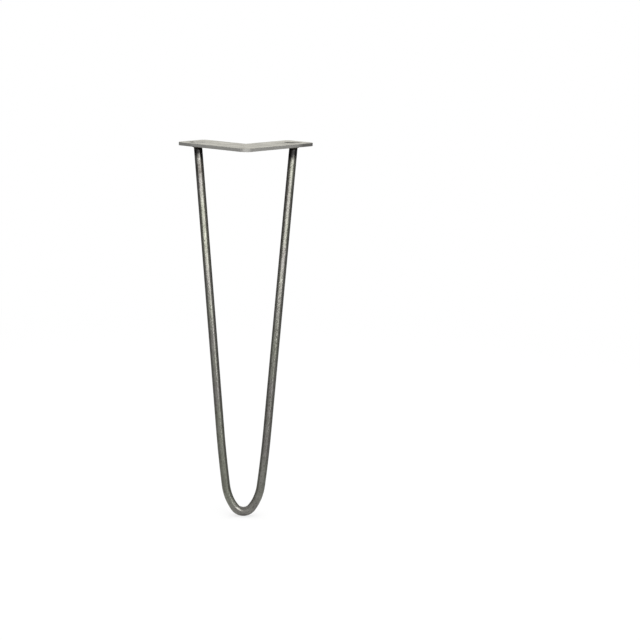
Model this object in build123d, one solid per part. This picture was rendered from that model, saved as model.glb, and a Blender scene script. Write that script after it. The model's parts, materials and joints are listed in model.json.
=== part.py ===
# Hairpin table leg: a bent round bar welded under an angled mounting plate.
# Millimetres. +Z is up, the plate's top face lies at Z = 0 and goes against the table's underside.
# The leg is symmetric about X = 0, and its foot splays out towards -Y, under the plate's outer elbow.
# The origin is on the top face, where the centre lines of the plate's two arms cross.

from build123d import *

import os
from math import atan2, cos, degrees, radians, sin, sqrt

# Overall
overall_height = 450.0
splay_angle = 9.0

# Mounting plate, an angle cut from flat steel
plate_thickness = 4.0
arm_length = 120.0
arm_width = 46.5
arm_angle = 45.0
arm_end_radius = 7.0
outer_elbow_radius = 10.0
inner_elbow_radius = 2.0
edge_break = 0.4

# Screw slots, one behind each end of the bar
slot_length = 18.0
slot_width = 6.5
slot_clearance = 2.75

# Bent bar
rod_diameter = 10.0
rod_from_arm_end = 29.5
foot_inside_radius = 8.0
shoulder_radius = 60.0
ease_radius = 1500.0
foot_bend_ends_at = 36.0
shoulder_bend_ends_at = 7.5

# Weld beads, where the bar meets the plate
weld_leg = 2.5
weld_rise = 1.2
weld_edge_margin = 1.0
weld_toe = 0.25
weld_crown = 0.6

# Worked out from the sizes above
rod_radius = rod_diameter / 2
rod_from_arm_edge = rod_radius + weld_leg + weld_edge_margin
slot_behind_rod = rod_radius + weld_leg + slot_clearance + slot_width / 2
elbow_reach = arm_width / 2 / cos(radians(arm_angle))
underside = Plane.XY.offset(-plate_thickness)
SIDES = {"left": -1, "right": 1}


def arm_point(side, along, across):
    """Plan position on an arm: along its outer edge from the elbow, and across from that edge."""
    angle = radians(arm_angle)
    x = along * cos(angle) - across * sin(angle)
    y = along * sin(angle) + across * cos(angle) - elbow_reach
    return Vector(side * x, y)


def weld_point(side):
    """Where the bar's centre line meets the plate's underside."""
    plan = arm_point(side, arm_length - rod_from_arm_end, rod_from_arm_edge)
    return Vector(plan.X, plan.Y, -plate_thickness)


def mounting_plate():
    """Angled flat plate with rounded corners, eased edges and a sharp-edged slot near each arm's end."""
    right, left = SIDES["right"], SIDES["left"]
    corners = [
        arm_point(right, 0, 0),
        arm_point(right, arm_length, 0),
        arm_point(right, arm_length, arm_width),
        Vector(0, elbow_reach),
        arm_point(left, arm_length, arm_width),
        arm_point(left, arm_length, 0),
    ]
    rounding = [
        outer_elbow_radius,
        arm_end_radius,
        arm_end_radius,
        inner_elbow_radius,
        arm_end_radius,
        arm_end_radius,
    ]
    outline = make_face(FilletPolyline(*corners, radius=rounding, close=True))
    plate = extrude(outline, -plate_thickness)
    plate = fillet(plate.edges().filter_by(Axis.Z, reverse=True), edge_break)
    for side in SIDES.values():
        rod_end = weld_point(side)
        slot = Pos(rod_end.X, rod_end.Y + slot_behind_rod) * SlotOverall(slot_length, slot_width)
        plate -= extrude(slot, -plate_thickness)
    return plate


# The plane of the bend holds both weld points and leans out by the splay angle.
# Its own origin is the bar's centre at the foot, its X runs across and its Y runs up the lean.
rod_end = weld_point(SIDES["right"])
foot_drop = overall_height - plate_thickness - rod_radius
slant_rise = foot_drop / cos(radians(splay_angle))
foot_lean = slant_rise * sin(radians(splay_angle))
bend_plane = Plane(
    origin=(0, rod_end.Y - foot_lean, rod_end.Z - foot_drop),
    x_dir=(1, 0, 0),
    z_dir=(0, -cos(radians(splay_angle)), sin(radians(splay_angle))),
)


def right_half_of_bend():
    """Foot arc, shoulder arc, long ease arc and straight run, each tangent to the one before."""
    foot = JernArc((0, 0), (1, 0), foot_inside_radius + rod_radius, 90 - foot_bend_ends_at)
    shoulder = JernArc(foot @ 1, foot % 1, shoulder_radius, foot_bend_ends_at - shoulder_bend_ends_at)
    start = shoulder @ 1
    ease_centre = start + (shoulder.center_point - start) * (ease_radius / shoulder_radius)
    top = Vector(rod_end.X, slant_rise)
    to_top = top - ease_centre
    run_length = sqrt(to_top.length**2 - ease_radius**2)
    run_angle = degrees(atan2(to_top.X, to_top.Y) - atan2(ease_radius, run_length))
    ease = JernArc(start, shoulder % 1, ease_radius, shoulder_bend_ends_at - run_angle)
    past_plate = top + (ease % 1) * rod_diameter
    return [foot, shoulder, ease, Line(ease @ 1, past_plate)]


right_half = right_half_of_bend()
centre_line = bend_plane * Wire(right_half + [edge.mirror(Plane.YZ) for edge in right_half])
run_direction = {
    "right": (bend_plane * right_half[-1]) % 1,
    "left": (bend_plane * right_half[-1].mirror(Plane.YZ)) % 1,
}


def hairpin_rod():
    """One length of round bar bent to a hairpin, both ends mitred flat to the plate's underside."""
    section = Plane(centre_line @ 0, z_dir=centre_line % 0) * Circle(rod_radius)
    return split(sweep(section, path=centre_line), bisect_by=underside, keep=Keep.BOTTOM)


def weld_bead(name, rod):
    """Low, crowned fillet weld all round the leaning bar, wider on the plate than it rises on the bar."""
    axis = run_direction[name]
    lean = Vector(axis.X, axis.Y)
    stretch = 1 / axis.Z
    bead_profile = ((0, weld_leg), (weld_rise / 2, weld_leg * weld_crown), (weld_rise, weld_toe))
    rings = []
    for depth, leg in bead_profile:
        centre = weld_point(SIDES[name]) - axis * (depth / axis.Z)
        ring = Ellipse(rod_radius * stretch + leg, rod_radius + leg)
        rings.append(Plane(centre, x_dir=lean) * ring)
    return loft(rings, ruled=True) - rod


os.makedirs("parts", exist_ok=True)
plate = mounting_plate()
rod = hairpin_rod()
export_step(plate, "parts/mounting_plate.step")
export_step(rod, "parts/hairpin_rod.step")
for name in SIDES:
    export_step(weld_bead(name, rod), f"parts/weld_bead_{name}.step")
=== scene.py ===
# %% [markdown]
# # A hairpin table leg in raw steel
# The leg is a small weldment: a flat plate cut to a right angle, a round bar bent to a hairpin,
# and two fillet welds that join them. The plate goes against the underside of a table top.
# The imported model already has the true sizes, so this lesson loads it as a fixed frame and works
# on what the eye sees: the bar's drawn finish, the rolled plate, the ripples of the welds, the light.

# %% Load the frame
import json
import math

import bmesh
import bpy
from mathutils import Matrix, Quaternion, Vector


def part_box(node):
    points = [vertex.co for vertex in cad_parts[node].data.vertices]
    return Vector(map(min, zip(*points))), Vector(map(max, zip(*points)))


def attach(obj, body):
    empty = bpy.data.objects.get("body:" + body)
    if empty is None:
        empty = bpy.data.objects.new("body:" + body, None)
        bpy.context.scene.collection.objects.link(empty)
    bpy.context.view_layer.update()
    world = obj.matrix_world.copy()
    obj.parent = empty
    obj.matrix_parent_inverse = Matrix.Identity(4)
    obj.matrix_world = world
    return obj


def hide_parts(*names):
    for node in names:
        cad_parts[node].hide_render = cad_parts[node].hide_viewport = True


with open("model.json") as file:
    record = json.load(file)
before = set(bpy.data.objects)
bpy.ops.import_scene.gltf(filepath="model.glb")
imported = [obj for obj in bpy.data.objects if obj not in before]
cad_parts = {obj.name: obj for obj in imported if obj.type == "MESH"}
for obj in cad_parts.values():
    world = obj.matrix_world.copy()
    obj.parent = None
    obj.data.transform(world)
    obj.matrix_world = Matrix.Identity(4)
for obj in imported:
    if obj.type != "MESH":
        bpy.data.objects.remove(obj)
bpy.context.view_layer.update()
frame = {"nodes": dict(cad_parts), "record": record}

scene = bpy.context.scene
print("nodes:", sorted(frame["nodes"]))

# %% [markdown]
# ## Sizes
# Blender works in metres here. Most places are read from the frame: the height of the plate's
# underside and the foot's position come from the boxes of the imported nodes, and the distance between
# the bar's ends is the distance between the screw slots, because each slot lies straight behind a bar
# end.
# Only what a box can't tell, such as the bar's radius and the radii of its bend, is written out.
# A bar is seldom exactly its nominal 10 mm. In the photograph this one measures about a quarter of a
# millimetre more, so it is made that thick on the same path, and the floor lies just under its foot.

# %% Sizes read from the frame
MM = 0.001
plate_low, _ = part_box("mounting_plate")
rod_low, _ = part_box("hairpin_rod")
mounts = {mount["name"]: mount for mount in frame["record"]["mounts"]}

ROD_RADIUS = 5 * MM
ROLLED_RADIUS = 5.13 * MM
SPLAY = math.radians(9)
UNDERSIDE = plate_low.z
FLOOR = rod_low.z - (ROLLED_RADIUS - ROD_RADIUS)

weld_x = mounts["screw_slots"]["dims"]["spacing_x_mm"] / 2 * MM
slot_y = mounts["screw_slots"]["pos_m"][1]
slot_reach = mounts["screw_slots"]["dims"]["slot_length_mm"] / 2 * MM
slot_radius = mounts["screw_slots"]["dims"]["hole_r_mm"] * MM
foot_centre = Vector((0, rod_low.y + ROD_RADIUS, rod_low.z + ROD_RADIUS))
foot_drop = UNDERSIDE - foot_centre.z
weld_y = foot_centre.y + foot_drop * math.tan(SPLAY)
print(f"bar ends at x = +-{weld_x:.4f}, y = {weld_y:.4f}, foot at y = {foot_centre.y:.4f}")

# %% [markdown]
# ## Camera
# The photograph was taken with a long lens, straight in front of the leg and from a little above the
# plate. The leg stands left of the picture's middle, so the lens is shifted sideways by that much.
# Turning the camera instead would tilt the plate against the bar by half a degree.

# %% Camera
CAMERA_PLACE = Vector((0, -1.9085, 0.1869))
CAMERA_AIM = Vector((0, 0, -0.2113))
CAMERA_ROLL = math.radians(0.39)
CAMERA_SHIFT = 0.1179
SENSOR_WIDTH = 36
LENS = 90

camera_data = bpy.data.cameras.new("camera")
camera_data.sensor_width = SENSOR_WIDTH
camera_data.lens = LENS
camera_data.shift_x = CAMERA_SHIFT
camera = bpy.data.objects.new("camera", camera_data)
scene.collection.objects.link(camera)
camera.location = CAMERA_PLACE
aim = (CAMERA_AIM - CAMERA_PLACE).to_track_quat("-Z", "Y")
camera.rotation_mode = "QUATERNION"
camera.rotation_quaternion = aim @ Quaternion((0, 0, 1), CAMERA_ROLL)
scene.camera = camera
print("camera:", round((CAMERA_AIM - CAMERA_PLACE).length, 3), "m from its aim")

# %% [markdown]
# ## The bar's path
# A bar bender leaves a chain of arcs, each tangent to the next: a tight one at the foot, a wider
# shoulder, a long ease and then a straight run up to the plate. A curve drawn by eye could come
# close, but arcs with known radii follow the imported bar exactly. The path is worked out flat, in the
# plane of the bend, with the foot at zero, x across and y up the lean. Headings are measured from
# x, so the foot starts at heading 0 and the run ends almost upright.

# %% Sizes of the bend
FOOT_RADIUS = 13 * MM
SHOULDER_RADIUS = 60 * MM
EASE_RADIUS = 1500 * MM
FOOT_ENDS = math.radians(54)
SHOULDER_ENDS = math.radians(82.5)

slant_rise = foot_drop / math.cos(SPLAY)
top = Vector((weld_x, slant_rise, 0))


def heading_vector(heading):
    """The direction of a heading, in the plane of the bend."""
    return Vector((math.cos(heading), math.sin(heading), 0))


def left_of(heading):
    """The direction square to a heading, on its left, where the centres of the arcs lie."""
    return Vector((-math.sin(heading), math.cos(heading), 0))


print(f"bend: {slant_rise:.4f} m from foot to plate, up the lean")

# %% Foot and shoulder arcs
arcs = []
point = Vector((0, 0, 0))
travelled = 0.0
heading = 0.0
for radius, heading_end in ((FOOT_RADIUS, FOOT_ENDS), (SHOULDER_RADIUS, SHOULDER_ENDS)):
    centre = point + left_of(heading) * radius
    arcs.append((centre, radius, heading, heading_end, travelled))
    travelled += radius * (heading_end - heading)
    point = centre - left_of(heading_end) * radius
    heading = heading_end
print("foot and shoulder:", round(travelled, 4), "m along the bar")

# %% Ease and straight run
ease_centre = point + left_of(heading) * EASE_RADIUS
to_top = top - ease_centre
run_length = math.sqrt(to_top.length_squared - EASE_RADIUS**2)
run_heading = math.atan2(to_top.y, to_top.x) + math.atan2(EASE_RADIUS, run_length)
arcs.append((ease_centre, EASE_RADIUS, heading, run_heading, travelled))
run_start = ease_centre - left_of(run_heading) * EASE_RADIUS
run_travelled = travelled + EASE_RADIUS * (run_heading - heading)
half_length = run_travelled + run_length
print(f"bar: {2 * half_length:.3f} m long, run leans {90 - math.degrees(run_heading):.2f} degrees")

# %% Places along the bar


def heading_at(along):
    """The bar's heading at a length along it, measured from the foot."""
    for centre, radius, start, end, before in arcs:
        if along <= before + radius * (end - start):
            return start + (along - before) / radius
    return run_heading


def straighten(place):
    """A point on the bent bar, as it lay on the straight bar: two offsets and the length along."""
    flat = Vector((place.x, place.y, 0))
    for centre, radius, start, end, before in arcs:
        spoke = flat - centre
        angle = math.atan2(spoke.x, -spoke.y)
        if angle <= end:
            return Vector((radius - spoke.length, place.z, before + radius * (angle - start)))
    along = (flat - run_start).dot(heading_vector(run_heading))
    return Vector(((flat - run_start).dot(left_of(run_heading)), place.z, run_travelled + along))


print(f"heading at the shoulder's start: {math.degrees(heading_at(arcs[1][4])):.1f} degrees")

# %% [markdown]
# ## The bar
# One way to model a bent bar is a curve with a round bevel. Here the bar is modelled as it was
# bent: a ring of points is spun round the centre of each arc in turn, extruded up the straight run,
# cut off flat at the plate, and mirrored. That gives even rings along the bar. Each point also
# remembers where it lay on the straight bar, so that the drawn finish can follow the bend. Cold
# bending squeezes the steel on the inside of the tight foot, so it stands a little proud there.

# %% Turning a bmesh into a piece
MERGE = 1e-6


def finish_mesh(bm, name, smooth=True):
    """Turn a bmesh into an object at the origin, with its place in its mesh."""
    bmesh.ops.remove_doubles(bm, verts=bm.verts, dist=MERGE)
    bmesh.ops.recalc_face_normals(bm, faces=bm.faces)
    for face in bm.faces:
        face.smooth = smooth
    mesh = bpy.data.meshes.new(name)
    bm.to_mesh(mesh)
    bm.free()
    made = bpy.data.objects.new(name, mesh)
    scene.collection.objects.link(made)
    print(name, "has", len(mesh.polygons), "faces")
    return made


print("doubles closer than", MERGE, "m are merged")

# %% Spin the arcs
RING_POINTS = 48
STEP_ANGLE = math.radians(3)
EASE_STEPS = 10


def spin_ring(bm, ring, centre, angle, steps):
    """Spin a ring of the bar round an arc's centre, and return the ring it ends with."""
    spun = bmesh.ops.spin(
        bm, geom=ring, cent=centre, axis=(0, 0, 1), angle=angle, steps=steps, use_merge=False
    )
    return spun["geom_last"]


bm = bmesh.new()
on_its_side = Matrix.Rotation(math.radians(90), 4, "Y")
bmesh.ops.create_circle(
    bm, cap_ends=False, radius=ROLLED_RADIUS, segments=RING_POINTS, matrix=on_its_side
)
ring = bm.verts[:] + bm.edges[:]
for centre, radius, start, end, before in arcs:
    steps = max(EASE_STEPS, round((end - start) / STEP_ANGLE))
    ring = spin_ring(bm, ring, centre, end - start, steps)
print("arcs:", len(bm.verts) // RING_POINTS, "rings")

# %% Extrude the straight run
RUN_STEPS = 24

run_step = heading_vector(run_heading) * ((run_length + 2 * ROD_RADIUS) / RUN_STEPS)
for _ in range(RUN_STEPS):
    edges = [part for part in ring if isinstance(part, bmesh.types.BMEdge)]
    ring = bmesh.ops.extrude_edge_only(bm, edges=edges)["geom"]
    ring = [part for part in ring if not isinstance(part, bmesh.types.BMFace)]
    moved = [part for part in ring if isinstance(part, bmesh.types.BMVert)]
    bmesh.ops.translate(bm, verts=moved, vec=run_step)
print("with the run:", len(bm.verts) // RING_POINTS, "rings")

# %% Remember the straight bar, and swell the inside of the foot
SWELL = 0.9 * MM
SWELL_REACH = 22 * MM
SWELL_START = 0.3 * ROD_RADIUS

swollen = 0
straight_bar = bm.verts.layers.float_vector.new("straight_bar")
for vert in bm.verts:
    vert[straight_bar] = straighten(vert.co)
    inward, _, along = vert[straight_bar]
    if inward > SWELL_START and along < SWELL_REACH:
        rise = (inward - SWELL_START) / (ROD_RADIUS - SWELL_START)
        fade = 1 - (along / SWELL_REACH)**2
        vert.co += left_of(heading_at(along)) * SWELL * rise**2 * fade**2
        swollen += 1
print("points moved inside the foot:", swollen)

# %% Lean the bar, cut it at the plate and mirror it
bend_frame = Matrix((
    (1, 0, 0, foot_centre.x),
    (0, math.sin(SPLAY), -math.cos(SPLAY), foot_centre.y),
    (0, math.cos(SPLAY), math.sin(SPLAY), foot_centre.z),
    (0, 0, 0, 1),
))

bmesh.ops.transform(bm, matrix=bend_frame, verts=bm.verts)
cut = bmesh.ops.bisect_plane(
    bm, geom=bm.verts[:] + bm.edges[:] + bm.faces[:], plane_co=(0, 0, UNDERSIDE),
    plane_no=(0, 0, 1), clear_outer=True
)
mitre = [part for part in cut["geom_cut"] if isinstance(part, bmesh.types.BMEdge)]
bmesh.ops.contextual_create(bm, geom=mitre)
bmesh.ops.mirror(bm, geom=bm.verts[:] + bm.edges[:] + bm.faces[:], axis="X", merge_dist=MERGE)
for vert in bm.verts:
    if vert.co.x < 0:
        vert[straight_bar].z *= -1
bar = finish_mesh(bm, "bent_bar")

# %% [markdown]
# ## Welds
# Each end of the bar is welded all round. A fillet weld made by hand is a row of overlapping
# ripples. A bump map could suggest them, but it would leave the bead's outline smooth. So a few
# corners of a crowned section are spun round the bar's end, each point is then moved a little in
# and out to give the ripples, and the ring leans over with the bar.

# %% Section and ripples of a bead
WELD_LEG = 2.5 * MM
WELD_RISE = 1.2 * MM
WELD_TOE = 0.25 * MM
WELD_ROOT = 0.3 * MM
# Points of the crown, from the plate to the bar: a share of the leg and a share of the rise.
WELD_CROWN = ((0.92, 0.18), (0.62, 0.52), (0.32, 0.82))
RIPPLES = 34
RIPPLE_DEPTH = 0.12 * MM
RIPPLE_SLANT = 600.0
RIPPLE_MEAN = 0.6
UNEVEN = 0.7
# Two slow waves round the bead: how high, and how many to a turn.
BROAD_WAVE = 0.6
BROAD_COUNT = 2
SHORT_WAVE = 0.4
SHORT_COUNT = 5


def weld_section():
    """The bead's section as radius and depth: root, toe on the plate, crown, toe on the bar, root."""
    inside = ROD_RADIUS - WELD_ROOT
    crown = [(ROD_RADIUS + WELD_LEG * out, WELD_RISE * down) for out, down in WELD_CROWN]
    on_plate = [(inside, 0), (ROD_RADIUS + WELD_LEG, 0)]
    on_bar = [(ROD_RADIUS + WELD_TOE, WELD_RISE), (inside, WELD_RISE)]
    return on_plate + crown + on_bar


def ripple(angle, depth, phase):
    """How far the bead's surface stands out at this angle: crescents, on a slow uneven swell."""
    swell = BROAD_WAVE * math.sin(BROAD_COUNT * angle + phase)
    swell += SHORT_WAVE * math.sin(SHORT_COUNT * angle + 2 * phase)
    crescent = abs(math.sin(RIPPLES * angle / 2 + RIPPLE_SLANT * depth + phase))
    return RIPPLE_DEPTH * (crescent - RIPPLE_MEAN + UNEVEN * swell)


print("bead section:", len(weld_section()), "corners")

# %% Weld beads
RIPPLE_STEPS = 8
LEFT_PHASE = 0.4
RIGHT_PHASE = 2.1

run_direction = bend_frame.to_3x3() @ heading_vector(run_heading)


def make_weld(side, name, phase):
    """Spin a bead, ripple it, lean it with the bar and set it at the bar's end."""
    bm = bmesh.new()
    corners = [bm.verts.new((radius, 0, -depth)) for radius, depth in weld_section()]
    edges = [bm.edges.new((a, b)) for a, b in zip(corners, corners[1:] + corners[:1])]
    bmesh.ops.spin(
        bm, geom=corners + edges, cent=(0, 0, 0), axis=(0, 0, 1), angle=math.tau,
        steps=RIPPLES * RIPPLE_STEPS, use_merge=True
    )
    lean = Vector((side * run_direction.x, run_direction.y, 0)) / run_direction.z
    for vert in bm.verts:
        out = vert.co.to_2d()
        if out.length > ROD_RADIUS:
            angle = math.atan2(out.y, out.x)
            out *= 1 + ripple(angle, -vert.co.z, phase) / out.length
        vert.co = Vector((out.x, out.y, vert.co.z)) + lean * vert.co.z
    bmesh.ops.translate(bm, verts=bm.verts, vec=(side * weld_x, weld_y, UNDERSIDE))
    return finish_mesh(bm, name)


welds = {
    "weld_bead_left": make_weld(-1, "weld_left", LEFT_PHASE),
    "weld_bead_right": make_weld(1, "weld_right", RIGHT_PHASE),
}

# %% [markdown]
# ## Building materials
# Each finish is a small node tree, which could as well be drawn by hand in the Shader Editor. A few
# helpers keep the trees readable here: they make a node and fill its sockets, map one range of values
# onto another, mix two colours, and start a material. Patterns read Object coordinates or the bar's
# own attribute, so they stay put on the piece whichever way it is seen.

# %% Node helpers


def node(tree, kind, sockets=None, **settings):
    """Add a node, set its properties, and fill its input sockets with numbers or links."""
    made = tree.nodes.new("ShaderNode" + kind)
    for name, value in settings.items():
        setattr(made, name, value)
    for name, value in (sockets or {}).items():
        if isinstance(value, bpy.types.NodeSocket):
            tree.links.new(value, made.inputs[name])
        else:
            made.inputs[name].default_value = value
    return made


def start_material(name):
    """A new material: its node tree and its Principled shader."""
    material = bpy.data.materials.new(name)
    material.use_nodes = True
    tree = material.node_tree
    return material, tree, tree.nodes["Principled BSDF"]


print("node helpers:", node.__name__, start_material.__name__)

# %% Sums with nodes


def math_node(tree, operation, a, b=0.0):
    """One sum with one or two values."""
    return node(tree, "Math", {0: a, 1: b}, operation=operation).outputs[0]


def times(tree, first, *others):
    """The product of several values."""
    for other in others:
        first = math_node(tree, "MULTIPLY", first, other)
    return first


def largest(tree, first, *others):
    """The largest of several values."""
    for other in others:
        first = math_node(tree, "MAXIMUM", first, other)
    return first


def spread(tree, value, low, high, to_low=0.0, to_high=1.0):
    """Map a value's working range onto another range."""
    sockets = {"Value": value, "From Min": low, "From Max": high, "To Min": to_low, "To Max": to_high}
    return node(tree, "MapRange", sockets, clamp=True).outputs[0]


def distance(tree, place, target):
    """How far a place on the surface is from a fixed point."""
    sockets = {0: place, 1: target}
    return node(tree, "VectorMath", sockets, operation="DISTANCE").outputs["Value"]


print("sums:", [sum_made.__name__ for sum_made in (math_node, times, largest, spread, distance)])

# %% Colours, noise and bump
# Most values of a noise lie in this range.
NOISE_RANGE = (0.3, 0.7)


def blend_colour(tree, share, first, second):
    """Mix two colours; share 0 gives the first and 1 the second."""
    mixed = node(tree, "Mix", {0: share, 6: first, 7: second}, data_type="RGBA", clamp_factor=True)
    return mixed.outputs[2]


def noise(tree, vector, stretch, detail=4.0, roughness=0.55):
    """Noise with its own scale in each direction, in patterns per metre."""
    mapped = node(tree, "Mapping", {"Vector": vector, "Scale": stretch})
    sockets = {"Vector": mapped.outputs[0], "Scale": 1.0, "Detail": detail, "Roughness": roughness}
    return node(tree, "TexNoise", sockets).outputs["Fac"]


def bump(tree, height, distance, strength=1.0, normal=None):
    """A normal tilted by a height pattern, on top of another normal if one is given."""
    sockets = {"Height": height, "Distance": distance, "Strength": strength}
    if normal is not None:
        sockets["Normal"] = normal
    return node(tree, "Bump", sockets).outputs[0]


print("noise is read between", *NOISE_RANGE)

# %% [markdown]
# ## Bar steel
# Drawn bar comes with fine lines along its length and a thin grey-green scale, rubbed bright in
# places. Slow patches lean to olive or to plain grey, and there are dark flecks and a few pits. Object
# coordinates would run the lines straight through the bend. The patterns read the straight_bar
# attribute instead, so the lines follow the bar round its foot.

# %% Patterns on the bar
# Patterns per metre, two ways across the bar and then along it.
LINE_GRAIN = (560, 560, 12)
BLOTCH_GRAIN = (170, 170, 70)
DIMPLE_GRAIN = (420, 420, 260)
FLECK_GRAIN = (620, 620, 420)
SLOW_GRAIN = (45, 45, 16)
FLECK_RANGE = (0.54, 0.66)

bar_steel, tree, shader = start_material("bar_steel")
on_bar = node(tree, "Attribute", attribute_name="straight_bar").outputs["Vector"]
lines = noise(tree, on_bar, LINE_GRAIN, detail=4)
blotches = noise(tree, on_bar, BLOTCH_GRAIN, detail=6, roughness=0.62)
dimples = noise(tree, on_bar, DIMPLE_GRAIN, detail=4, roughness=0.6)
flecks = spread(tree, noise(tree, on_bar, FLECK_GRAIN, detail=3), *FLECK_RANGE)
slow = noise(tree, on_bar, SLOW_GRAIN, detail=3)
print("bar patterns:", len(tree.nodes), "nodes")

# %% Pits in the bar
PITS_PER_METRE = 190.0
PIT_CHANCE = 0.5
PIT_SIZE = 0.16
PIT_SOFTNESS = 0.03

pit_cells = node(tree, "TexVoronoi", {"Vector": on_bar, "Scale": PITS_PER_METRE, "Randomness": 1.0})
pit_chance = node(tree, "SeparateColor", {0: pit_cells.outputs["Color"]}).outputs[0]
pit_size = spread(tree, pit_chance, PIT_CHANCE, 1.0, 0.0, PIT_SIZE)
pit_edge = math_node(tree, "SUBTRACT", pit_size, pit_cells.outputs["Distance"])
pits = spread(tree, pit_edge, -PIT_SOFTNESS, PIT_SOFTNESS)
print("pits: up to", round(PIT_SIZE / PITS_PER_METRE / MM, 2), "mm in radius")

# %% Left bar and right bar
# The two bars of the hairpin differ a little. One finish passes into the other across the foot.
SIDE_CHANGE = 0.1

inward, _, along = node(tree, "SeparateXYZ", {0: on_bar}).outputs
on_right = spread(tree, along, -SIDE_CHANGE, SIDE_CHANGE)


def by_side(tree, left, right):
    """One value on the left bar and another on the right bar."""
    return spread(tree, on_right, 0.0, 1.0, left, right)


print("finish changes sides within", SIDE_CHANGE, "m of the foot")

# %% Colour of the drawn finish
BAR_BRIGHT = (0.56, 0.56, 0.50, 1)
BAR_SCALE = (0.36, 0.362, 0.315, 1)
BAR_PIT = (0.10, 0.085, 0.065, 1)
OLIVE_TINT = (1.005, 1.025, 0.975, 1)
NEUTRAL_TINT = (0.995, 0.955, 1.02, 1)
BLOTCH_WEAR = (0.36, 0.64)
LINE_WEAR = (0.34, 0.66, 0.4, 1.0)
SLOW_WEAR = (0.35, 0.60, 0.75, 1.0)
TINT_RANGE = (0.38, 0.62)
FLECKS_LEFT = 0.45
FLECKS_RIGHT = 0.65
PIT_SHARE = 0.8

worn = times(tree, spread(tree, blotches, *BLOTCH_WEAR), spread(tree, lines, *LINE_WEAR))
worn = times(tree, worn, spread(tree, slow, *SLOW_WEAR))
colour = blend_colour(tree, worn, BAR_SCALE, BAR_BRIGHT)
tint = blend_colour(tree, spread(tree, slow, *TINT_RANGE), NEUTRAL_TINT, OLIVE_TINT)
colour = node(
    tree, "Mix", {0: 1.0, 6: colour, 7: tint}, data_type="RGBA", blend_type="MULTIPLY"
).outputs[2]
fleck_share = times(tree, flecks, by_side(tree, FLECKS_LEFT, FLECKS_RIGHT))
colour = blend_colour(tree, fleck_share, colour, BAR_PIT)
colour = blend_colour(tree, times(tree, pits, PIT_SHARE), colour, BAR_PIT)
print("drawn finish:", len(tree.nodes), "nodes so far")

# %% [markdown]
# ## Heat and painted shade on the bar
# Welding heats the ends of the bar. Right under the plate the steel is black, further down on the
# right bar than on the left: this black is heat tint and also painted shade where the plate shades
# the bar. The left bar has a brown band below that. The inner sides of the hairpin are darker near
# the plate. Such marks could be painted by hand. Here the distance from the plate gives them, so
# each mark can be moved by one number.

# %% Darker inside the hairpin
HEAT_BROWN = (0.13, 0.115, 0.095, 1)
HEAT_WANDER = 3 * MM
INSIDE_RANGE = (0.22 * ROD_RADIUS, 0.55 * ROD_RADIUS)
INSIDE_FADE = (60 * MM, 200 * MM)
INSIDE_LEFT = 0.35
INSIDE_RIGHT = 0.62

from_plate = math_node(tree, "SUBTRACT", half_length, math_node(tree, "ABSOLUTE", along))
wander = spread(tree, blotches, *NOISE_RANGE, -HEAT_WANDER, HEAT_WANDER)
from_weld = math_node(tree, "ADD", from_plate, wander)
inside = spread(tree, inward, *INSIDE_RANGE)
near_plate = spread(tree, from_weld, *INSIDE_FADE, 1.0, 0.0)
inside_share = times(tree, inside, by_side(tree, INSIDE_LEFT, INSIDE_RIGHT), near_plate)
# The inner sides of both bars are darkened with the brown near the plate.
colour = blend_colour(tree, inside_share, colour, HEAT_BROWN)
print("inner scale ends", INSIDE_FADE[1], "m from the plate")

# %% Heat tints and painted shade on the bar
HEAT_AND_SHADE_BLACK = (0.035, 0.034, 0.034, 1)
BAND_PLACE = 27 * MM
BAND_FADE = (3 * MM, 11 * MM)
BAND_LEFT = 0.60
BAND_RIGHT = 0.0
BLACK_LEFT = 7 * MM
BLACK_RIGHT = 10.5 * MM
BLACK_INSIDE_LEFT = 5 * MM
BLACK_INSIDE_RIGHT = 0.0
BLACK_FADE = (1 * MM, 7.5 * MM)
BLACK_SHARE = 0.97

off_band = math_node(tree, "ABSOLUTE", math_node(tree, "SUBTRACT", from_weld, BAND_PLACE))
band = spread(tree, off_band, *BAND_FADE, 1.0, 0.0)
brown = times(tree, band, by_side(tree, BAND_LEFT, BAND_RIGHT))
black_inside = times(tree, inside, by_side(tree, BLACK_INSIDE_LEFT, BLACK_INSIDE_RIGHT))
# The black under the plate is heat tint and also painted shade of the plate: it reaches further down
# on the right bar and on the inner side of the left bar.
from_black = math_node(tree, "SUBTRACT", from_weld, by_side(tree, BLACK_LEFT, BLACK_RIGHT))
from_black = math_node(tree, "SUBTRACT", from_black, black_inside)
black = spread(tree, from_black, *BLACK_FADE, BLACK_SHARE, 0.0)
colour = blend_colour(tree, brown, colour, HEAT_BROWN)
colour = blend_colour(tree, black, colour, HEAT_AND_SHADE_BLACK)
tree.links.new(colour, shader.inputs["Base Color"])
print("black under the plate:", BLACK_LEFT, "m on the left,", BLACK_RIGHT, "m on the right")

# %% Gloss and relief of the bar
BAR_ROUGH = (0.27, 0.17)
PIT_DEPTH = 0.5
DENTS_LEFT = 1.0
DENTS_RIGHT = 1.5
LINE_BUMP = 0.02 * MM
LINE_STRENGTH = 0.5
DENT_BUMP = 0.22 * MM
DENT_STRENGTH = 0.8

tree.links.new(spread(tree, worn, 0.0, 1.0, *BAR_ROUGH), shader.inputs["Roughness"])
dents = math_node(tree, "SUBTRACT", dimples, times(tree, pits, PIT_DEPTH))
dents = times(tree, dents, by_side(tree, DENTS_LEFT, DENTS_RIGHT))
drawn_lines = bump(tree, lines, LINE_BUMP, LINE_STRENGTH)
relief = bump(tree, dents, DENT_BUMP, DENT_STRENGTH, drawn_lines)
tree.links.new(relief, shader.inputs["Normal"])
shader.inputs["Metallic"].default_value = 1.0

bar.data.materials.append(bar_steel)
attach(bar, "root")
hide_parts("hairpin_rod")
print("bar finished with", bar_steel.name)
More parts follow.
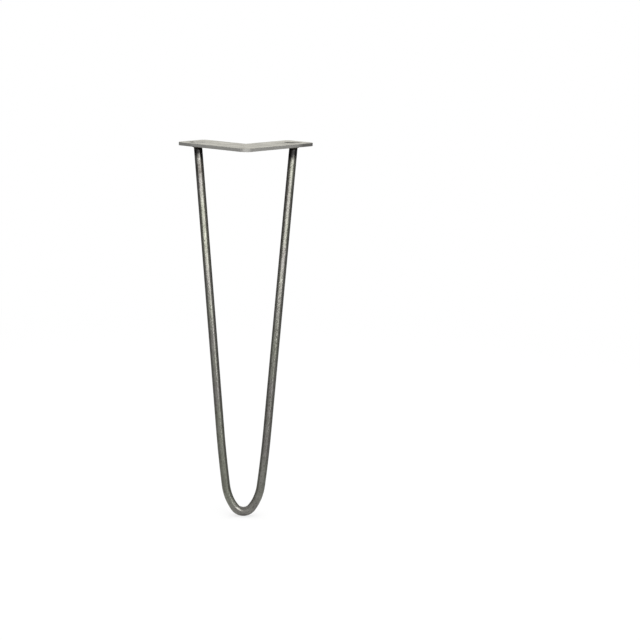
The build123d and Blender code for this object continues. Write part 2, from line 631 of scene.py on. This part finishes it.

# %% [markdown]
# ## Plate steel
# The plate is cut from rolled flat steel: faint rolling lines and soft grey patches on the faces,
# fine upright drag lines on the cut edges, and a thin bright line where each edge has been eased,
# partly wear and partly a painted highlight.
# The faces could be given separate materials by hand. A surface's own normal tells them apart just as
# well: faces look up or down, cut edges look sideways, and the eased corner is in between. Near the
# tips of the arms, more on the right one, painted shade darkens the cut edges.

# %% Patterns on the plate
# Patterns per metre, across the plate, away from its elbow and upright.
ROLLED_GRAIN = (30, 1100, 300)
PATCH_GRAIN = (55, 80, 80)
DRAG_GRAIN = (1500, 1500, 60)
SCRATCH_GRAIN = (90, 1900, 300)
SCRATCH_RANGE = (0.66, 0.72)

plate_steel, tree, shader = start_material("plate_steel")
on_plate = node(tree, "TexCoord").outputs["Object"]
rolled = noise(tree, on_plate, ROLLED_GRAIN, detail=5)
patches = noise(tree, on_plate, PATCH_GRAIN, detail=3, roughness=0.5)
drag = noise(tree, on_plate, DRAG_GRAIN, detail=4)
scratches = spread(tree, noise(tree, on_plate, SCRATCH_GRAIN, detail=2), *SCRATCH_RANGE)
print("plate patterns:", len(tree.nodes), "nodes")

# %% Faces, cut edges and eased corners
# How far a normal points up or down: 0 on a cut edge, 1 on a face.
EDGE_RANGE = (0.25, 0.60)
EASED_START = (0.10, 0.35)
EASED_END = (0.80, 0.97)

normal = node(tree, "NewGeometry").outputs["Normal"]
upright = math_node(tree, "ABSOLUTE", node(tree, "SeparateXYZ", {0: normal}).outputs[2])
on_edge = spread(tree, upright, *EDGE_RANGE, 1.0, 0.0)
eased = times(tree, spread(tree, upright, *EASED_START), spread(tree, upright, *EASED_END, 1.0, 0.0))
print("cut edges end where the normal reaches", EDGE_RANGE[1])

# %% Colour of the plate
PLATE_LIGHT = (0.52, 0.51, 0.44, 1)
PLATE_DULL = (0.40, 0.395, 0.335, 1)
EDGE_CUT = (0.70, 0.69, 0.655, 1)
EDGE_BRIGHT = (0.80, 0.79, 0.755, 1)
EDGE_TIP_SHADE = (0.26, 0.255, 0.245, 1)
PATCH_RANGE = (0.35, 0.65)
LINE_RANGE = (0.35, 0.7)
ROLLED_SHARE = 0.35
SCRATCH_SHARE = 0.2
EASED_SHARE = 0.5
TIP_RANGE = (62 * MM, 70 * MM)
TIP_LEFT = 0.25
TIP_RIGHT = 0.72

across, away, height = node(tree, "SeparateXYZ", {0: on_plate}).outputs
from_middle = math_node(tree, "ABSOLUTE", across)
faces = blend_colour(tree, spread(tree, patches, *PATCH_RANGE), PLATE_DULL, PLATE_LIGHT)
faces = blend_colour(tree, spread(tree, rolled, *LINE_RANGE, 0.0, ROLLED_SHARE), faces, PLATE_DULL)
faces = blend_colour(tree, times(tree, scratches, SCRATCH_SHARE), faces, EDGE_BRIGHT)
edges = blend_colour(tree, spread(tree, drag, *LINE_RANGE), EDGE_CUT, EDGE_BRIGHT)
# Painted shade darkens the cut edges near the tips of the arms, more on the right one.
tip_shade = spread(tree, across, -weld_x, weld_x, TIP_LEFT, TIP_RIGHT)
tip_shade = times(tree, spread(tree, from_middle, *TIP_RANGE), tip_shade)
edges = blend_colour(tree, tip_shade, edges, EDGE_TIP_SHADE)
colour = blend_colour(tree, on_edge, faces, edges)
# The eased corners get a painted highlight, which also stands for wear there.
colour = blend_colour(tree, times(tree, eased, EASED_SHARE), colour, EDGE_BRIGHT)
print("plate colour:", len(tree.nodes), "nodes so far")

# %% [markdown]
# ## Painted shade and heat on the plate
# Painted shade darkens the plate round the right slot and at the outer end of the left one. It is
# made matte and no metal, so it changes the gloss as well as the colour. Its outline is a distance
# from the slot, a rounded shape that a distance to a short line gives. Under the plate, the welds have
# left a brown and black ring round each end of the bar.

# %% Painted shade at the slots
SLOT_SHADE = (0.03, 0.029, 0.028, 1)
SLOT_SHADE_RANGE = (slot_radius + 1.5 * MM, slot_radius + 2.6 * MM)
SLOT_SHADE_LEAST = 0.25
SLOT_SHADE_TAIL = 0.5
LEFT_SLOT_SHADE = (-weld_x - 0.8 * slot_reach, -weld_x - 0.45 * slot_reach)

along_slot = math_node(tree, "ABSOLUTE", math_node(tree, "SUBTRACT", from_middle, weld_x))
past_end = math_node(tree, "SUBTRACT", along_slot, slot_reach - slot_radius)
past_end = largest(tree, past_end, 0.0)
off_line = math_node(tree, "SUBTRACT", away, slot_y)
from_slot = node(tree, "CombineXYZ", {0: past_end, 1: off_line}).outputs[0]
from_slot = node(tree, "VectorMath", {0: from_slot}, operation="LENGTH").outputs["Value"]
slot_shade_right = spread(tree, across, 0.0, slot_reach, SLOT_SHADE_LEAST, 1.0)
slot_shade_right = times(tree, slot_shade_right, spread(tree, across, weld_x, weld_x + slot_reach, 1.0, SLOT_SHADE_TAIL))
slot_shade_left = spread(tree, across, *LEFT_SLOT_SHADE, 1.0, 0.0)
# Painted shade round the right slot and at the outer end of the left one: dark, matte and no metal.
slot_shade_share = spread(tree, from_slot, *SLOT_SHADE_RANGE, 1.0, 0.0)
slot_shade_share = times(tree, slot_shade_share, largest(tree, slot_shade_right, slot_shade_left))
colour = blend_colour(tree, slot_shade_share, colour, SLOT_SHADE)
print("soot reaches", round(SLOT_SHADE_RANGE[1], 4), "m from a slot's middle line")

# %% Heat under the plate
BROWN_RING = (9 * MM, 17 * MM)
BROWN_SHARE = 0.7
BLACK_RING = (7 * MM, 11 * MM)
BLACK_RING_SHARE = 0.8
RING_WANDER = 2 * MM
BELOW_RANGE = (UNDERSIDE * 0.98, UNDERSIDE * 0.85)

mirrored = node(tree, "VectorMath", {0: on_plate}, operation="ABSOLUTE").outputs[0]
from_end = distance(tree, mirrored, (weld_x, weld_y, -UNDERSIDE))
wander = spread(tree, patches, *NOISE_RANGE, -RING_WANDER, RING_WANDER)
from_end = math_node(tree, "ADD", from_end, wander)
below = spread(tree, height, *BELOW_RANGE, 1.0, 0.0)
brown = times(tree, spread(tree, from_end, *BROWN_RING, BROWN_SHARE, 0.0), below)
black = times(tree, spread(tree, from_end, *BLACK_RING, BLACK_RING_SHARE, 0.0), below)
colour = blend_colour(tree, brown, colour, HEAT_BROWN)
colour = blend_colour(tree, black, colour, HEAT_AND_SHADE_BLACK)
tree.links.new(colour, shader.inputs["Base Color"])
print("heat rings reach", BROWN_RING[1], "m from a bar end")

# %% Gloss and relief of the plate
# The glance is the colour that the metal takes when it is seen almost edge-on.
PLATE_GLANCE = (0.91, 0.89, 0.84, 1)
PLATE_ROUGH = (0.28, 0.20)
EDGE_ROUGH = 0.42
SLOT_SHADE_ROUGH = 0.9
ROLLED_BUMP = 0.01 * MM
DRAG_BUMP = 0.05 * MM
PLATE_STRENGTH = 0.4

roughness = spread(tree, patches, *NOISE_RANGE, *PLATE_ROUGH)
roughness = math_node(tree, "ADD", roughness, times(tree, on_edge, EDGE_ROUGH))
# The painted shade at the slots is also made matte and no metal, so it stays dark when seen almost
# edge-on.
roughness = largest(tree, roughness, times(tree, slot_shade_share, SLOT_SHADE_ROUGH))
tree.links.new(roughness, shader.inputs["Roughness"])
tree.links.new(math_node(tree, "SUBTRACT", 1.0, slot_shade_share), shader.inputs["Metallic"])
rolled_lines = bump(tree, rolled, ROLLED_BUMP, PLATE_STRENGTH)
relief = bump(tree, times(tree, drag, on_edge), DRAG_BUMP, PLATE_STRENGTH, rolled_lines)
tree.links.new(relief, shader.inputs["Normal"])
shader.inputs["Specular Tint"].default_value = PLATE_GLANCE

plate = frame["nodes"]["mounting_plate"]
plate.data.materials.clear()
plate.data.materials.append(plate_steel)
print("plate finished with", plate_steel.name)

# %% [markdown]
# ## Weld steel
# A bead that was never ground is dark and a little rough, with grey, straw and brown tints that change
# across it. One flat colour would look like putty. Height below the plate drives the tint, and fine
# noise breaks it up.

# %% Weld steel
WELD_GREY = (0.36, 0.345, 0.32, 1)
WELD_STRAW = (0.27, 0.225, 0.165, 1)
CRUST_GRAIN = (700, 700, 700)
CRUST_TINT = (0.45, 0.68, 0.0, 0.8)
TINT_WANDER = 0.8 * MM
WELD_ROUGH = (0.38, 0.62)
WELD_METAL = 0.9
CRUST_BUMP = 0.08 * MM
CRUST_STRENGTH = 0.6

weld_steel, tree, shader = start_material("weld_steel")
on_weld = node(tree, "TexCoord").outputs["Object"]
crust = noise(tree, on_weld, CRUST_GRAIN, detail=5)
below = math_node(tree, "SUBTRACT", UNDERSIDE, node(tree, "SeparateXYZ", {0: on_weld}).outputs[2])
below = math_node(tree, "ADD", below, spread(tree, crust, *NOISE_RANGE, -TINT_WANDER, TINT_WANDER))
colour = blend_colour(tree, spread(tree, below, 0.0, WELD_RISE), WELD_GREY, WELD_STRAW)
colour = blend_colour(tree, spread(tree, crust, *CRUST_TINT), colour, HEAT_BROWN)
tree.links.new(colour, shader.inputs["Base Color"])
tree.links.new(spread(tree, crust, *NOISE_RANGE, *WELD_ROUGH), shader.inputs["Roughness"])
tree.links.new(bump(tree, crust, CRUST_BUMP, CRUST_STRENGTH), shader.inputs["Normal"])
shader.inputs["Metallic"].default_value = WELD_METAL

for bead_node, weld in welds.items():
    weld.data.materials.append(weld_steel)
    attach(weld, "root")
    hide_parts(bead_node)
print("welds finished with", weld_steel.name)

# %% [markdown]
# ## Floor and background
# The photograph's background is plain white. More light on the scene would whiten it, but would also
# bleach the steel. So the floor is a pale sheet that keeps the leg's soft shadow, and away from the
# leg it runs into a white world. The Light Path node lets the camera and mirror-like rays see that
# white while the light that falls on the leg stays at a plain level.

# %% White world
WHITE = (1, 1, 1, 1)
AMBIENT = 0.5


def seen_directly(tree):
    """1 for rays that look straight at something: from the camera, a mirror or glass."""
    path = node(tree, "LightPath").outputs
    return largest(tree, path["Is Camera Ray"], path["Is Glossy Ray"], path["Is Transmission Ray"])


world = bpy.data.worlds.new("white_studio")
scene.world = world
world.use_nodes = True
tree = world.node_tree
tree.nodes.clear()
soft = node(tree, "Background", {"Color": WHITE, "Strength": AMBIENT}).outputs[0]
white = node(tree, "Background", {"Color": WHITE, "Strength": 1.0}).outputs[0]
mixed = node(tree, "MixShader", {0: seen_directly(tree), 1: soft, 2: white}).outputs[0]
node(tree, "OutputWorld", {"Surface": mixed})
print("world:", world.name)

# %% Floor
FLOOR_WIDTH = 14.0
FLOOR_SIDES = 96
PAPER = (0.95, 0.95, 0.95, 1)
GLOW_RANGE = (0.35, 1.3)
GLOW_NEAR = 0.72
under_plate = (0, 0, FLOOR)

bm = bmesh.new()
bmesh.ops.create_circle(bm, cap_ends=True, radius=FLOOR_WIDTH / 2, segments=FLOOR_SIDES)
bmesh.ops.translate(bm, verts=bm.verts, vec=under_plate)
floor = finish_mesh(bm, "floor", smooth=False)
pale_floor, tree, _ = start_material("pale_floor")
tree.nodes.clear()
away = distance(tree, node(tree, "TexCoord").outputs["Object"], under_plate)
paper = node(tree, "BsdfDiffuse", {"Color": PAPER}).outputs[0]
glow = node(tree, "Emission", {"Color": WHITE, "Strength": 1.0}).outputs[0]
share = spread(tree, away, *GLOW_RANGE, GLOW_NEAR, 1.0)
bright = node(tree, "MixShader", {0: share, 1: paper, 2: glow}).outputs[0]
seen = node(tree, "MixShader", {0: seen_directly(tree), 1: paper, 2: bright}).outputs[0]
node(tree, "OutputMaterial", {"Surface": seen})
floor.data.materials.append(pale_floor)

# %% [markdown]
# ## Light
# Round bright metal shows its surroundings, so a photographer shapes what it can mirror. A wide, low
# panel in front draws the light stripe down the upper half of the bar, a key panel high on the right
# gives the foot its glint, and a panel overhead lights the floor without showing in the steel.
# The flat plate would mirror the whole front panel and look white from behind. A photographer would
# hold a flag in between. Here light linking keeps that panel off the plate, and two dimmer panels,
# one of them below the plate's top face, light its edges instead.

# %% Soft panels
MIDDLE = Vector((0, 0.02, -0.2))


def soft_panel(name, place, width, height, brightness):
    """A rectangular lamp that faces the middle of the leg; brightness 1 looks white in a mirror."""
    lamp = bpy.data.lights.new(name, "AREA")
    lamp.shape = "RECTANGLE"
    lamp.size = width
    lamp.size_y = height
    lamp.energy = brightness * math.pi * width * height
    made = bpy.data.objects.new(name, lamp)
    scene.collection.objects.link(made)
    made.location = place
    made.rotation_mode = "QUATERNION"
    made.rotation_quaternion = (MIDDLE - Vector(place)).to_track_quat("-Z", "Y")
    made.visible_camera = False
    return made


def shine_on(lamp, piece, state):
    """Let a lamp light only this piece (INCLUDE), or everything but this piece (EXCLUDE)."""
    lit = bpy.data.collections.new(lamp.name + "_light")
    lit.objects.link(piece)
    lit.collection_objects[0].light_linking.link_state = state
    lamp.light_linking.receiver_collection = lit


print("panels face", tuple(round(part, 2) for part in MIDDLE))

# %% Lamps
FRONT_PLACE = (0, -2.05, 0.23)
LOW_PLACE = (0, -2.05, -0.23)
FRONT_SIZE = (3.2, 0.46)
FRONT_BRIGHTNESS = 1.65
PLATE_BRIGHTNESS = 0.72
LOW_BRIGHTNESS = 0.93
KEY_PLACE = (0.86, -1.70, 0.92)
KEY_SIZE = (1.25, 0.9)
KEY_BRIGHTNESS = 2.2
TOP_PLACE = (0, 0.3, 1.7)
TOP_SIZE = (2.2, 2.2)
TOP_BRIGHTNESS = 2.4

front_panel = soft_panel("front_panel", FRONT_PLACE, *FRONT_SIZE, FRONT_BRIGHTNESS)
key_panel = soft_panel("key_panel", KEY_PLACE, *KEY_SIZE, KEY_BRIGHTNESS)
top_panel = soft_panel("top_panel", TOP_PLACE, *TOP_SIZE, TOP_BRIGHTNESS)
top_panel.visible_glossy = False
plate_panel = soft_panel("plate_panel", FRONT_PLACE, *FRONT_SIZE, PLATE_BRIGHTNESS)
low_panel = soft_panel("low_panel", LOW_PLACE, *FRONT_SIZE, LOW_BRIGHTNESS)

shine_on(front_panel, plate, "EXCLUDE")
shine_on(plate_panel, plate, "INCLUDE")
shine_on(low_panel, plate, "INCLUDE")
panels = (front_panel, key_panel, top_panel, plate_panel, low_panel)
print("panels:", [panel.name for panel in panels])

# %% [markdown]
# ## Grey bay
# In a white room the bars would be white all round and lose their shape. A photographer surrounds
# them with grey: here a round bay with a floor, a wall and a lid, and an opening behind, through which
# the plate's top mirrors the white. Only the metal sees it. Its grey isn't even. It is lighter under
# the leg and in front, on the upper wall at the sides and on the lid, and along a path on the floor
# behind, so that the leg has some life from every side.

# %% Shape of the bay
BAY_RADIUS = 2.6
BAY_SILL = 0.0
BAY_LINTEL = 0.65
BAY_TOP = 2.0
BAY_OPENING = math.radians(60)
BAY_STEPS = 64
BAY_LIFT = 0.0002


def spin_outline(bm, outline, start, angle):
    """Spin a line of (radius, height) corners round the upright axis, from a heading, by an angle."""
    line = [bm.verts.new((0, out, height)) for out, height in outline]
    edges = [bm.edges.new(pair) for pair in zip(line, line[1:])]
    bmesh.ops.rotate(bm, verts=line, matrix=Matrix.Rotation(start, 3, "Z"))
    bmesh.ops.spin(
        bm, geom=line + edges, cent=(0, 0, 0), axis=(0, 0, 1), angle=angle, steps=BAY_STEPS,
        use_merge=angle == math.tau
    )


bm = bmesh.new()
low = FLOOR + BAY_LIFT
spin_outline(bm, [(0, low), (BAY_RADIUS, low), (BAY_RADIUS, BAY_SILL)], 0, math.tau)
spin_outline(bm, [(BAY_RADIUS, BAY_LINTEL), (BAY_RADIUS, BAY_TOP), (0, BAY_TOP)], 0, math.tau)
spin_outline(
    bm, [(BAY_RADIUS, BAY_SILL), (BAY_RADIUS, BAY_LINTEL)], BAY_OPENING / 2, math.tau - BAY_OPENING
)
bay = finish_mesh(bm, "grey_bay")

# %% Grey of the bay's floor and wall
# Each range says where, in metres, one grey passes into the next.
BAY_NEAR = 0.29
BAY_FAR = 0.15
NEAR_RANGE = (0.4, 2.0)
BAY_BEHIND = 0.82
BEHIND_RANGE = (-0.15, 0.1)
BAY_UNDER = 0.42
UNDER_RANGE = (0.05, 0.5)
BAY_FRONT = 0.41
BAY_FACING = (0, -1, 0)
FRONT_RANGE = (1.75, 0.6)

bay_grey, tree, _ = start_material("bay_grey")
tree.nodes.clear()
on_bay = node(tree, "TexCoord").outputs["Object"]
place = node(tree, "SeparateXYZ", {0: on_bay}).outputs
away = distance(tree, on_bay, under_plate)
facing = {0: on_bay, 1: BAY_FACING}
in_front = node(tree, "VectorMath", facing, operation="DOT_PRODUCT").outputs["Value"]
level = spread(tree, away, *NEAR_RANGE, BAY_NEAR, BAY_FAR)
level = times(tree, level, spread(tree, place["Y"], *BEHIND_RANGE, 1.0, BAY_BEHIND))
under_leg = spread(tree, away, *UNDER_RANGE, BAY_UNDER, 0.0)
front_wall = spread(tree, in_front, *FRONT_RANGE, BAY_FRONT, 0.0)
level = largest(tree, level, under_leg, front_wall)
print("bay grey:", BAY_FAR, "to", BAY_UNDER)

# %% Lighter upper wall and lid
BAY_UPPER = 0.5
UPPER_RANGE = (0.30, 0.44)
SIDES_RANGE = (1.6, 0.8)
BAY_REAR = 0.55
REAR_RANGE = (0.3, 0.9)
BAY_LID = 0.34
LID_RANGE = (BAY_TOP - 0.4, BAY_TOP)
LID_MIDDLE = (2.6, 2.72)
LID_BEHIND = (0.4, 0.7)

lid = spread(tree, place["Z"], *LID_RANGE, 0.0, BAY_LID)
upper = spread(tree, place["Z"], *UPPER_RANGE, 0.0, BAY_UPPER)
upper = times(tree, upper, spread(tree, in_front, *SIDES_RANGE))
upper = times(tree, upper, spread(tree, place["Y"], *REAR_RANGE, 1.0, BAY_REAR))
upper = times(tree, upper, spread(tree, away, *LID_MIDDLE))
lid_behind = spread(tree, place["Z"], *LID_RANGE, 0.0, BAY_UPPER)
lid_behind = times(tree, lid_behind, spread(tree, place["Y"], *LID_BEHIND))
level = largest(tree, level, lid, upper, lid_behind)
print("upper wall and lid:", BAY_LID, "to", BAY_UPPER)

# %% Light path behind, and a painted shadow under the foot
BAY_PATH = 0.65
PATH_WEDGE = (0.27, 0.70)
PATH_START = (0.12, 0.35)
PATH_END = (0.8, 1.2)
LEAST_Y = 0.02
CONTACT_SHADOW = 0.45
CONTACT_RANGE = (0.002, 0.012)

aside = math_node(tree, "ABSOLUTE", place["X"])
aside = math_node(tree, "DIVIDE", aside, largest(tree, place["Y"], LEAST_Y))
light_path = spread(tree, aside, *PATH_WEDGE, BAY_PATH, 0.0)
light_path = times(tree, light_path, spread(tree, place["Y"], *PATH_START))
light_path = times(tree, light_path, spread(tree, away, *PATH_END, 1.0, 0.0))
level = largest(tree, level, light_path)
# Painted shadow: the bay's floor is darker right under the foot.
from_foot = distance(tree, on_bay, (0, foot_centre.y, FLOOR))
level = times(tree, level, spread(tree, from_foot, *CONTACT_RANGE, CONTACT_SHADOW, 1.0))
print("light path ends", PATH_END[1], "m from the leg")

# %% Finish the bay


def only_in_metal(obj):
    """Let mirror-like metal see a stage piece, and nothing else."""
    for ray in ("camera", "diffuse", "shadow", "transmission", "volume_scatter"):
        setattr(obj, "visible_" + ray, False)


grey = node(tree, "Emission", {"Color": WHITE, "Strength": level}).outputs[0]
node(tree, "OutputMaterial", {"Surface": grey})
bay.data.materials.append(bay_grey)
only_in_metal(bay)
print("bay finished with", bay_grey.name)

# %% [markdown]
# ## Grey cards
# Two upright cards stand close in front of the leg, below the camera's line. They hide what lies
# behind them from the lower bars, so the stripe fades into an even grey half-way down. The left card
# is taller, so the stripe ends sooner on the side of each bar that mirrors it. A gradient on the panel
# could do that too, but a card is easier to move.

# %% Grey cards
CARD_DISTANCE = 0.5
CARD_HALF = 0.5
CARD_TURN = Matrix.Rotation(math.radians(90), 3, "X")
# Left edge, right edge and top edge of each card.
CARDS = {"tall_card": (-0.60, 0.12, -0.100), "low_card": (0.12, 0.55, -0.265)}

card_grey, tree, _ = start_material("card_grey")
tree.nodes.clear()
grey = node(tree, "Emission", {"Color": WHITE, "Strength": BAY_FRONT}).outputs[0]
node(tree, "OutputMaterial", {"Surface": grey})
for name, (left, right, top_edge) in CARDS.items():
    bm = bmesh.new()
    bmesh.ops.create_grid(bm, x_segments=1, y_segments=1, size=CARD_HALF)
    bmesh.ops.rotate(bm, verts=bm.verts, matrix=CARD_TURN)
    bmesh.ops.scale(bm, verts=bm.verts, vec=(right - left, 1, top_edge - FLOOR))
    middle = ((left + right) / 2, -CARD_DISTANCE, (top_edge + FLOOR) / 2)
    bmesh.ops.translate(bm, verts=bm.verts, vec=middle)
    card = finish_mesh(bm, name, smooth=False)
    card.data.materials.append(card_grey)
    only_in_metal(card)

# %% [markdown]
# ## Finish
# The Standard view shows colours about as they are written.

# %% Finish
scene.view_settings.view_transform = "Standard"
